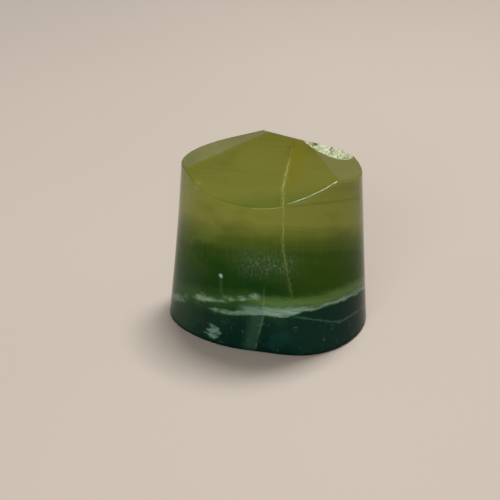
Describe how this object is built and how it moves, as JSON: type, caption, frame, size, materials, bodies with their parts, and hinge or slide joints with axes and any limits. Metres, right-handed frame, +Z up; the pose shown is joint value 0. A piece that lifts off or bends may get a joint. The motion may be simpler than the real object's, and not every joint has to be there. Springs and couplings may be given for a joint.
{
  "type": "fluorite freeform",
  "caption": "Polished green fluorite freeform with a flat base, straight tapering wall, sloping facets on top and a rough shell-shaped break at the back.",
  "frame": {"origin": "centre of the stone's bounding box, on the plane of its flat base", "axes": "+X along the stone's width, to the right of the view onto the large front facet; -Y towards that viewer; +Z up from the flat base"},
  "size_m": [0.0684, 0.052, 0.0618],
  "materials": {
    "fluorite": "hand-polished translucent green fluorite, rough and paler in the break"
  },
  "bodies": {
    "root": {"fluorite": "fluorite"}
  },
  "joints": []
}
